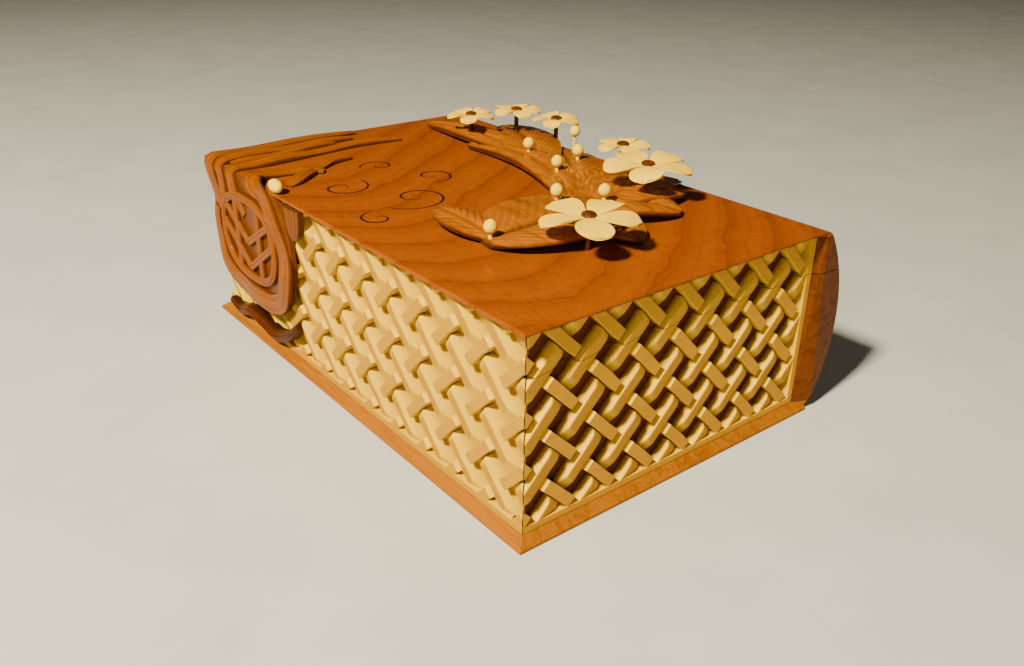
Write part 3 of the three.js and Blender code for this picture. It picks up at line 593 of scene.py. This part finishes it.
# Stem and tip, then how far it bends aside and its width as shares of the cover's width, and rise
LEAVES = [
    ((-0.242, -0.244), (-0.219, -0.063), -0.038, 0.121, 2.2),
    ((-0.287, -0.235), (0.197, -0.216), 0.053, 0.333, 3.0),
    ((0.0, -0.225), (0.03, -0.371), -0.015, 0.182, 2.0),
    ((0.076, -0.216), (0.265, -0.319), -0.038, 0.212, 2.7),
    ((0.091, -0.197), (0.393, -0.254), -0.03, 0.197, 2.9),
    ((0.106, -0.178), (0.47, -0.2), -0.03, 0.189, 2.6),
    ((0.121, -0.15), (0.484, -0.085), 0.045, 0.189, 2.3),
    ((0.091, -0.16), (0.212, 0.235), 0.151, 0.129, 3.2),
    ((0.136, -0.131), (0.408, 0.094), 0.038, 0.197, 2.5),
    ((0.257, 0.075), (0.272, 0.433), 0.038, 0.129, 3.0),
    ((0.227, 0.009), (0.469, 0.319), 0.045, 0.197, 2.6),
]
LEAF_THICKNESS = 1.1
VEIN_SPACING = 5.5
LEAF_CROWN = 1.5
LEAF_RIM = 0.45
LEAF_PUFF = 0.12
LEAF_WAVE = 0.5
VEIN_DEPTH = 0.35
MIDRIB_DEPTH = 0.75


def on_cover(x, y):
    return Vector((x * COVER_WIDTH, y * COVER_LENGTH, TOP_SEAT))


def leaf(bm, number, stem, tip, bend, width, rise):
    """A carved leaf: wavy raised rims, a sunk midrib and veins, undercut along its edges."""
    start, end = on_cover(*stem), on_cover(*tip)
    side = (end - start).cross(Vector((0, 0, 1))).normalized()
    middle = (start + end) / 2 + side * bend * COVER_WIDTH
    steps, slices = 90, 42
    veins = max(5, round((end - start).length / VEIN_SPACING))
    rows, painted_shades = [], []
    for i in range(steps + 1):
        u = 0.02 + 0.96 * i / steps
        centre = start * (1 - u) ** 2 + middle * 2 * u * (1 - u) + end * u * u
        tangent = (middle - start) * (1 - u) + (end - middle) * u
        across = tangent.cross(Vector((0, 0, 1))).normalized()
        swell = math.sin(math.pi * u**0.85) ** 0.6
        half = width / 2 * COVER_WIDTH * swell
        height = LEAF_THICKNESS * (1 + rise * math.sin(math.pi * (0.12 + 0.8 * u)))
        top, under, depths = [], [], []
        for k in range(slices + 1):
            v = 2 * k / slices - 1
            spread = abs(v)
            swing = 0.035 * math.sin(5.5 * u + 2.1 * number + 1.5 * v)
            reach = half * (0.96 + swing * spread**2)
            crown = LEAF_CROWN * swell * (1 - (2 * spread - 1.05) ** 2 * 0.85)
            rim = LEAF_RIM * swell * spread**8
            phase = (u * 1.2 - 0.42 * spread**0.8) * veins
            vein = abs(phase - round(phase)) / 0.5
            dent = math.exp(-(vein * 4.2) ** 2) * min(1, 4 * spread) * (1 - spread**6)
            puff = -LEAF_PUFF * math.cos(2 * math.pi * phase) * swell * spread * (1 - spread**4)
            midrib = math.exp(-(v * 11) ** 2)
            seed = Vector((centre.x, centre.y, number * 5)) * 0.12 + Vector((v, 0, 0))
            wave = LEAF_WAVE * noise.noise(seed)
            z = height + crown + rim + puff + wave * spread**2
            z -= swell * (VEIN_DEPTH * dent + MIDRIB_DEPTH * midrib)
            place = centre + across * (v * reach)
            top.append(Vector((place.x, place.y, TOP_SEAT + z)))
            # Painted shade: the veins and midrib get darker, the underside darkest
            depths.append(max(0.75 * dent, midrib) * 0.8)
            edge = max(0.0, height - 0.5 * LEAF_THICKNESS) * spread**3
            under.append(Vector((place.x, place.y, TOP_SEAT + min(edge, z - 0.2))))
        rows.append(top + under[::-1])
        painted_shades.append(depths + [1.0] * (slices + 1))
    skin_with_painted_shade(bm, rows, painted_shades)


def leaf_spray():
    bm = bmesh.new()
    for number, form in enumerate(LEAVES):
        leaf(bm, number, *form)
    piece("leaf_spray", bm, "leaf_walnut", LID, "walnut_carving", "leaf_wreath", smooth_angle=50)


# Half width by the distance from the middle, as shares of the petal's length
PETAL_FORM = [
    (0.0, 0.05), (0.1, 0.09), (0.25, 0.16), (0.4, 0.25), (0.55, 0.325), (0.7, 0.36), (0.82, 0.355),
    (0.91, 0.3), (0.965, 0.21), (0.99, 0.13), (1.0, 0.06),
]
PETAL_WIDEST = 0.36
PETAL_THICKNESS = 0.9
PETAL_ARCH = 1.3
PETAL_CURL = 0.04
PETAL_HOLLOW = 0.035
PETAL_TWIST = 0.06


def petal(bm, matrix, length, number, droop):
    """A rounded blade that arches out of the middle and hangs at its tip, with fine veins."""
    wide = [(u, h * length) for u, h in PETAL_FORM]
    points = [Vector((u, h, 0)) for u, h in wide]
    outline = [(p.x, p.y) for p in curve_through(points, 4)]
    slices = 14
    rows = []
    for u, half in outline:
        u = min(1.0, max(0.0, u))
        lift = PETAL_ARCH * math.sin(0.85 * math.pi * u) - droop * u**1.7
        fullness = half / (PETAL_WIDEST * length)
        top, under = [], []
        for k in range(slices + 1):
            v = 2 * k / slices - 1
            curl = PETAL_CURL * length * u * (v * fullness) ** 2
            curl -= PETAL_HOLLOW * length * u * (1 - v * v) * (1 - u)
            twist = PETAL_TWIST * length * v * u * fullness * math.sin(number * 2.3)
            vein = 0.05 * math.cos(v * 16) * u
            wave = 0.22 * noise.noise(Vector((u * 2.5, v * 1.5, number * 3.7))) * u
            x = length * u * (1 - 0.03 * v * v)
            z = lift + curl + twist + wave
            upper = z + PETAL_THICKNESS * (1 - 0.35 * v * v) + vein
            top.append(matrix @ Vector((x, v * half, upper)))
            under.append(matrix @ Vector((x, v * half, z)))
        rows.append(top + under[::-1])
    skin(bm, rows)


# Seen from above, the way to the camera, on whose side the petals droop more
TO_CAMERA = math.atan2(-0.78, -0.62)
PETALS = 5


def blossom(index, x, y, lift, length, turn):
    """Petals that droop more towards the camera's side, round a pin with its stamens."""
    bm = bmesh.new()
    place = on_cover(x, y)
    centre = Vector((place.x, place.y, BOX_HEIGHT + lift))
    for i in range(PETALS):
        angle = 2 * math.pi * (i + turn) / PETALS
        facing = math.cos(angle - TO_CAMERA)
        droop = (0.6 + 0.9 * facing) * length / BIG_PETAL
        matrix = Matrix.Translation(centre) @ Matrix.Rotation(angle, 4, "Z")
        petal(bm, matrix, length, index * 7 + i, droop)
    piece(f"blossom_{index}_petals", bm, "petal_wood", LID, "petal_wood", f"blossom_{index}",
          smooth_angle=55)
    stamens(index, centre)


def lathe(bm, profile, centre, sides=20):
    """Turns a list of radius and height about an upright axis through centre."""
    rings = []
    for radius, height in profile:
        ring = []
        for k in range(sides):
            angle = 2 * math.pi * k / sides
            spoke = Vector((radius * math.cos(angle), radius * math.sin(angle), height))
            ring.append(centre + spoke)
        rings.append(ring)
    skin(bm, rings)


STAMEN_COUNT = 46
GOLDEN_ANGLE = 2.39996


def stamens(index, centre):
    """A dark pin whose domed head is set with small stamens in a spiral."""
    bm = bmesh.new()
    foot = TOP_SEAT - centre.z
    profile = [
        (0.9, foot), (0.95, 0.4), (2.3, 1.0), (2.5, 1.5), (2.1, 2.0), (1.3, 2.35), (0.3, 2.5)]
    lathe(bm, profile, centre)
    for k in range(STAMEN_COUNT):
        share = (k + 0.5) / STAMEN_COUNT
        angle = k * GOLDEN_ANGLE
        radius = 2.45 * math.sqrt(share)
        height = 1.3 + 1.15 * math.sqrt(max(0.0, 1 - share))
        middle = centre + Vector((radius * math.cos(angle), radius * math.sin(angle), height))
        size = 0.24 + 0.06 * math.sin(k * 5.1)
        knob = [
            (0.01, -0.3), (size * 0.7, -0.1), (size, 0.12), (size * 0.7, 0.34), (0.01, 0.42)]
        lathe(bm, knob, middle, 7)
    piece(f"blossom_{index}_stamens", bm, "dark_wood", LID, "dark_wood", f"blossom_pin_{index}")


# Place on the cover and height over it
BERRIES = [
    (0.254, 0.068, 9), (0.192, -0.059, 9), (0.321, -0.025, 9), (0.448, 0.072, 10),
    (0.012, -0.188, 9), (0.112, -0.234, 9), (-0.269, -0.242, 7),
]
PEG_RADIUS = 0.7
BERRY_RADIUS = 2.25
BERRY_HEIGHT = 2.3


def berry(index, x, y, lift):
    """A berry on its peg, slightly egg-shaped."""
    bm = bmesh.new()
    place = on_cover(x, y)
    centre = Vector((place.x, place.y, BOX_HEIGHT + lift))
    profile = [(PEG_RADIUS, TOP_SEAT - centre.z), (PEG_RADIUS, -2.2)]
    for k in range(1, 14):
        angle = -math.pi / 2 + math.pi * k / 14
        taper = 1 - 0.06 * math.sin(angle)
        radius = max(PEG_RADIUS, BERRY_RADIUS * math.cos(angle) * taper)
        profile.append((radius, BERRY_HEIGHT * math.sin(angle)))
    profile.append((0.25, 2.28))
    lathe(bm, profile, centre, 28)
    piece(f"berry_{index}_bead", bm, "petal_wood", LID, "petal_wood", f"berry_{index}")


leaf_spray()
for index, form in enumerate(BLOSSOMS, 1):
    blossom(index, *form)
for index, form in enumerate(BERRIES, 1):
    berry(index, *form)


# Clasp: strands wrapped from the top board over its edge and down the front. Each place is its
# distance from the edge, negative down the front, and from the tail, in hundredths of the height.

UNIT = BOX_HEIGHT / 100
CLASP_CENTRE_Y = COVER_LENGTH / 2 - 0.589 * BOX_HEIGHT
CLASP_CENTRE_Z = 0.65 * BOX_HEIGHT
CLASP_HALF_WIDTH = 0.5 * BOX_HEIGHT
CLASP_HALF_HEIGHT = 0.4 * BOX_HEIGHT
CLASP_BACK = BLOCK_FRONT - SEAM_GAP
CLASP_THICKNESS = 2.4
CLASP_FRONT = CLASP_BACK - CLASP_THICKNESS
CLASP_TOP = BOX_HEIGHT - 0.2
STRAND_HEIGHT = 2.6
STRAND_TURN = 2.2
# Width of each strand and its route
STRANDS = [
    (12, [(97, 7), (64, 7), (33, 8), (11, 11), (-7, 13.5), (-17, 16), (-26, 24)]),
    (10, [
        (89, 18.5), (69, 18), (47, 18.5), (27, 20), (8.5, 22), (-8, 26), (-16.5, 28.5), (-24, 32)]),
    (8, [(74, 24), (55, 26), (36, 29), (20, 31), (4, 31)]),
    (11.5, [
        (113, 38.5), (86, 34.5), (60, 36.5), (40, 39), (20, 41), (3, 40), (-7, 43), (-16.5, 48.5),
        (-23.5, 54)]),
    (13, [
        (40, 76), (31, 69.5), (21.5, 65.5), (10, 65), (1.5, 68.5), (-4, 80), (-11.5, 90), (-22, 97),
        (-33, 102), (-45, 103), (-60, 97), (-68, 83), (-69, 67), (-69, 50), (-67, 33), (-60, 21),
        (-50, 15), (-38.5, 13.5), (-27, 16)]),
    (9.5, [(66, 58.5), (53, 60.5), (41.5, 66.5), (30, 75.5), (18.5, 85), (11.5, 89)]),
]


def on_wrap(from_edge, from_tail):
    """The point and the outward direction at a strand's place, round the board's edge."""
    y = COVER_LENGTH / 2 - from_tail
    if from_edge > STRAND_TURN:
        return Vector((FORE_EDGE + from_edge, y, TOP_SEAT)), Vector((0, 0, 1))
    if from_edge < -STRAND_TURN:
        return Vector((CLASP_FRONT, y, TOP_SEAT + from_edge)), Vector((-1, 0, 0))
    angle = (3 * STRAND_TURN - from_edge) / (4 * STRAND_TURN) * math.pi
    c, s = math.cos(angle), math.sin(angle)
    reach = FORE_EDGE - CLASP_FRONT + STRAND_TURN
    x = FORE_EDGE + STRAND_TURN + c * reach
    z = TOP_SEAT - STRAND_TURN + s * STRAND_TURN
    return Vector((x, y, z)), Vector((c, 0, s))


GROOVE_DEPTH = 0.24
EDGE_ROUNDNESS = 0.34


def ribbon(bm, stations, grooves=2):
    """A rounded band with fine grooves along it, over stations of centre, up, width and height."""
    slices = 22
    rings, painted_shades = [], []
    for i, (centre, up, width, height) in enumerate(stations):
        after = stations[min(i + 1, len(stations) - 1)][0]
        before = stations[max(i - 1, 0)][0]
        across = (after - before).cross(up).normalized()
        ring, depths = [], []
        for k in range(slices + 1):
            v = 2 * k / slices - 1
            crown = (1 - abs(v) ** 3.2) ** EDGE_ROUNDNESS
            groove = 0.5 * (1 - math.cos(2 * math.pi * grooves * (v + 1) / 2)) * (1 - v**4)
            crown *= 1 - GROOVE_DEPTH * groove
            ring.append(centre + across * (v * width / 2) + up * height * (crown - 0.02))
            # Painted shade: the grooves and the band's edges get darker, its underside darkest
            depths.append(max(0.5 * groove**3, v**10))
        ring.append(centre + across * width / 2 - up * height * 0.3)
        ring.append(centre - across * width / 2 - up * height * 0.3)
        rings.append(ring)
        painted_shades.append([*depths, 1.0, 1.0])
    skin_with_painted_shade(bm, rings, painted_shades)


STATIONS_PER_PLACE = 10


def strand(bm, width, route):
    """A strand that swells and sinks along its route and narrows to both ends."""
    places = [Vector((a * UNIT, b * UNIT, 0)) for a, b in route]
    line = curve_through(places, STATIONS_PER_PLACE)
    stations = []
    for i, place in enumerate(line):
        centre, up = on_wrap(place.x, place.y)
        share = i / (len(line) - 1)
        taper = 0.3 + 0.7 * math.sqrt(math.sin(math.pi * (0.03 + 0.94 * share)))
        swell = 0.75 + 0.25 * math.sin(2.2 * i / STATIONS_PER_PLACE)
        rise = STRAND_HEIGHT * swell * taper
        stations.append((centre, up, width * UNIT * taper, rise))
    ribbon(bm, stations)


SHIELD_POINTS = 96
SHIELD_SQUARENESS = 2.5


def shield(scale_y, scale_z):
    """The plate's outline, between an ellipse and a rectangle."""
    power = 2 / SHIELD_SQUARENESS
    outline = []
    for i in range(SHIELD_POINTS):
        angle = 2 * math.pi * i / SHIELD_POINTS
        c, s = math.cos(angle), math.sin(angle)
        y = CLASP_CENTRE_Y + math.copysign(abs(c) ** power, c) * scale_y
        z = CLASP_CENTRE_Z + math.copysign(abs(s) ** power, s) * scale_z
        outline.append((y, z))
    return outline


# Ends of each bar, as shares of the room inside the ring
LATTICE = [
    ((-0.45, -1), (-0.45, 1)), ((0.45, -1), (0.45, 1)), ((-1, 0.15), (0, -0.8)),
    ((1, 0.15), (0, -0.8)), ((-1, 0.75), (0, -0.1)), ((1, 0.75), (0, -0.1)),
]
RING_INSET = 10
RING_WIDTH = 3.8
LATTICE_HEIGHT = 1.9
RING_HEIGHT = LATTICE_HEIGHT + 0.3
LATTICE_WIDTH = 3.4
TONGUE = 0.17 * BOX_HEIGHT
TONGUE_ROWS = 12
TONGUE_SLICES = 24
OUTWARDS = Vector((-1, 0, 0))


def on_front(y, z):
    return Vector((CLASP_FRONT, y, z))


def shield_plate(bm):
    # Painted shade: the plate's ground between the raised ring and bars is darkened
    chamfer, chamfer_depth, recess_shade = 0.6, 0.5, 0.6
    rings = []
    for depth, inset in (
            (CLASP_BACK, 0), (CLASP_FRONT + chamfer_depth, 0), (CLASP_FRONT, chamfer)):
        outline = shield(CLASP_HALF_WIDTH - inset, CLASP_HALF_HEIGHT - inset)
        rings.append([Vector((depth, y, min(z, CLASP_TOP))) for y, z in outline])
    skin_with_painted_shade(bm, rings, [[recess_shade] * SHIELD_POINTS for _ in rings])


def ring_and_lattice(bm):
    middle = RING_INSET + RING_WIDTH / 2
    outline = shield(CLASP_HALF_WIDTH - middle, CLASP_HALF_HEIGHT - middle)
    ring = [(on_front(y, z), OUTWARDS, RING_WIDTH, RING_HEIGHT) for y, z in outline]
    ribbon(bm, ring + ring[:1])
    for start, end in LATTICE:
        points = [
            on_front(CLASP_CENTRE_Y + y * (CLASP_HALF_WIDTH - middle - 1),
                     CLASP_CENTRE_Z + z * (CLASP_HALF_HEIGHT - middle - 1))
            for y, z in (start, end)]
        ribbon(bm, [(p, OUTWARDS, LATTICE_WIDTH, LATTICE_HEIGHT) for p in points], 1)


def tongue(bm):
    """A fluted tongue that hangs beside the shield and rounds off at its lower end."""
    sunk, under_cover = 0.4, 2.5
    edge = CLASP_CENTRE_Y - CLASP_HALF_WIDTH - 0.75 * TONGUE
    rows, painted_shades = [], []
    for i in range(TONGUE_ROWS + 1):
        drop = i / TONGUE_ROWS
        half = TONGUE / 2 * math.sqrt(max(0.04, 1 - drop**3))
        height = BOX_HEIGHT - under_cover - drop * TONGUE
        centre = Vector((CLASP_FRONT + sunk, edge + TONGUE / 2, height))
        row, depths = [], []
        for k in range(TONGUE_SLICES + 1):
            v = 2 * k / TONGUE_SLICES - 1
            flute = 0.5 * (1 - math.cos(6 * math.pi * v)) * (1 - v**6)
            swell = (0.55 + 0.35 * flute) * (1 - v * v) * (1 - drop**4)
            row.append(centre + Vector((-swell, v * half, 0)))
            # Painted shade: darker between the flutes
            depths.append(0.75 - 0.5 * flute)
        back = [Vector((CLASP_BACK, point.y, point.z)) for point in reversed(row)]
        rows.append(row + back)
        painted_shades.append(depths + depths)
    skin_with_painted_shade(bm, rows, painted_shades)


def clasp_shield():
    bm = bmesh.new()
    shield_plate(bm)
    ring_and_lattice(bm)
    tongue(bm)
    piece("clasp_shield", bm, "carved_walnut", LID, "walnut_carving", "clasp_plate")


def clasp_strands():
    bm = bmesh.new()
    for width, route in STRANDS:
        strand(bm, width, route)
    piece("clasp_strands", bm, "carved_walnut", LID, "walnut_carving", "strapwork")


def edge_bead():
    low, high = box_mm("edge_bead")
    half = (high - low) / 2
    bm = bmesh.new()
    profile = []
    for k in range(17):
        angle = -math.pi / 2 + math.pi * k / 16
        profile.append((max(0.02, math.cos(angle)), math.sin(angle)))
    lathe(bm, profile, Vector((0, 0, 0)), 28)
    bmesh.ops.transform(
        bm, matrix=Matrix.LocRotScale((low + high) / 2, None, half), verts=bm.verts)
    piece("edge_bead_turned", bm, "petal_wood", LID, "petal_wood", "edge_bead")


# Distance from the clasp's middle and height over the lower cover
SCROLL = [(32, 4), (21, 3.4), (10, 6.6), (-2, 5.6), (-14, 4.4), (-25, 8.3), (-33, 14.8)]
SCROLL_WIDTH = 5
SCROLL_HEIGHT = 4.3


def clasp_scroll():
    bm = bmesh.new()
    board = BASE_HIGH.z
    places = [Vector((CLASP_BACK, CLASP_CENTRE_Y + y, board + z)) for y, z in SCROLL]
    line = curve_through(places, STATIONS_PER_PLACE)
    stations = []
    for i, place in enumerate(line):
        share = abs(2 * i / (len(line) - 1) - 1)
        taper = 1 - 0.4 * share**3
        stations.append((place, OUTWARDS, SCROLL_WIDTH * taper, SCROLL_HEIGHT * taper))
    ribbon(bm, stations)
    piece("clasp_scroll_carved", bm, "dark_carving", BODY, "walnut_carving", "clasp_scroll")


# Incised tendrils on the plain part of the cover

TENDRILS = [
    # Middle of the scroll, angle that it starts at, turns, first and last radius
    ((-0.20, 0.03), 200, 1.35, 15, 2.2),
    ((-0.32, 0.15), 20, -1.25, 11, 1.8),
    ((-0.05, 0.12), 250, 1.2, 9.5, 1.6),
    ((-0.37, -0.03), 80, 1.1, 7.5, 1.4),
    ((-0.12, 0.23), 170, -1.15, 8, 1.5),
]


def tendril(bm, middle, start, turns, first, last):
    """A spiral line that narrows to its outer and its inner end."""
    centre = on_cover(*middle)
    centre.z = BOX_HEIGHT
    steps, proud, thickness = 70, 0.02, 0.3
    left, right = [], []
    for i in range(steps + 1):
        share = i / steps
        angle = math.radians(start) + 2 * math.pi * turns * share
        radius = first * (last / first) ** (share**1.2)
        width = 0.9 * math.sin(math.pi * min(1, 0.06 + 0.94 * share) ** 0.7) + 0.15
        spoke = Vector((math.cos(angle), math.sin(angle), 0))
        left.append(centre + spoke * (radius - width / 2) + Vector((0, 0, proud)))
        right.append(centre + spoke * (radius + width / 2) + Vector((0, 0, proud)))
    down = Vector((0, 0, thickness))
    skin(bm, [[a, b, b - down, a - down] for a, b in zip(left, right)])


def tendrils():
    bm = bmesh.new()
    for form in TENDRILS:
        tendril(bm, *form)
    piece("incised_tendrils", bm, "incised", LID, "dark_wood")


clasp_shield()
clasp_strands()
edge_bead()
clasp_scroll()
tendrils()


# Materials of the frame's own pieces: by name for boards, spine and plain walls, else by slot

KEPT = {
    "walnut_figure": ["top_board"],
    "walnut": ["bottom_board"],
    "spine_walnut": ["spine_lower", "spine_upper"],
    "weave_y": ["back_wall", "back_rim"],
}
BY_SLOT = {
    "walnut": "walnut", "walnut_carving": "carved_walnut", "pale_wood": "weave_y",
    "petal_wood": "petal_wood", "dark_wood": "dark_wood", "brass": "brass",
}
kept_material = {name: material for material, nodes in KEPT.items() for name in nodes}
for part in frame["record"]["subparts"]:
    material = kept_material.get(part["node"], BY_SLOT[part["material_slot"]])
    mesh = frame["nodes"][part["node"]].data
    mesh.materials.clear()
    mesh.materials.append(MATERIALS[material])


# Floor, camera and light


def make_floor():
    bm = bmesh.new()
    bmesh.ops.create_grid(bm, x_segments=1, y_segments=1, size=12)
    mesh = bpy.data.meshes.new("floor")
    bm.to_mesh(mesh)
    bm.free()
    s = Shader("floor_paper")
    grain = s.noise(s.place((0.02, 0.02, 0.02)), 1.0, 3.0)
    paper = s.ramp(grain, [(0.3, (176, 180, 190)), (0.7, (184, 188, 198))])
    mesh.materials.append(s.finish(paper, 0.7))
    floor = bpy.data.objects.new("floor", mesh)
    bpy.context.scene.collection.objects.link(floor)


def make_camera():
    """The photo's camera, as fitted to the edges of the covers and the cells of the weave."""
    lens = bpy.data.cameras.new("camera")
    lens.lens = 32.44
    lens.sensor_width = 36
    camera = bpy.data.objects.new("camera", lens)
    bpy.context.scene.collection.objects.link(camera)
    right = Vector((0.78552, -0.61876, 0.00967))
    up = Vector((0.26551, 0.35110, 0.89791))
    ahead = Vector((0.55898, 0.70276, -0.44008))
    turned = Matrix((right, up, -ahead)).transposed().to_4x4()
    turned.translation = Vector((-0.19979, -0.26942, 0.17377))
    camera.matrix_world = turned
    bpy.context.scene.camera = camera


LAMP_DISTANCE = 1.2
LAMP_AIM = Vector((0, 0, 0.04))


def make_light(name, direction, energy, color, size):
    """A square lamp that shines onto the box from a direction."""
    lamp = bpy.data.lights.new(name, "AREA")
    lamp.energy = energy
    lamp.color = color
    lamp.size = size
    lamp_object = bpy.data.objects.new(name, lamp)
    away = Vector(direction).normalized()
    lamp_object.location = away * LAMP_DISTANCE + LAMP_AIM
    lamp_object.rotation_euler = (-away).to_track_quat("-Z", "Y").to_euler()
    bpy.context.scene.collection.objects.link(lamp_object)


def make_world():
    world = bpy.data.worlds.new("studio")
    bpy.context.scene.world = world
    world.use_nodes = True
    background = world.node_tree.nodes["Background"]
    background.inputs["Color"].default_value = srgb((244, 232, 214))
    background.inputs["Strength"].default_value = 0.05


make_floor()
make_camera()
make_light("key", (-0.66, -0.2, 0.72), 52, (1.0, 0.84, 0.52), 0.12)
make_light("front", (-0.6, -0.75, 0.3), 3, (1.0, 0.82, 0.5), 0.3)
make_world()
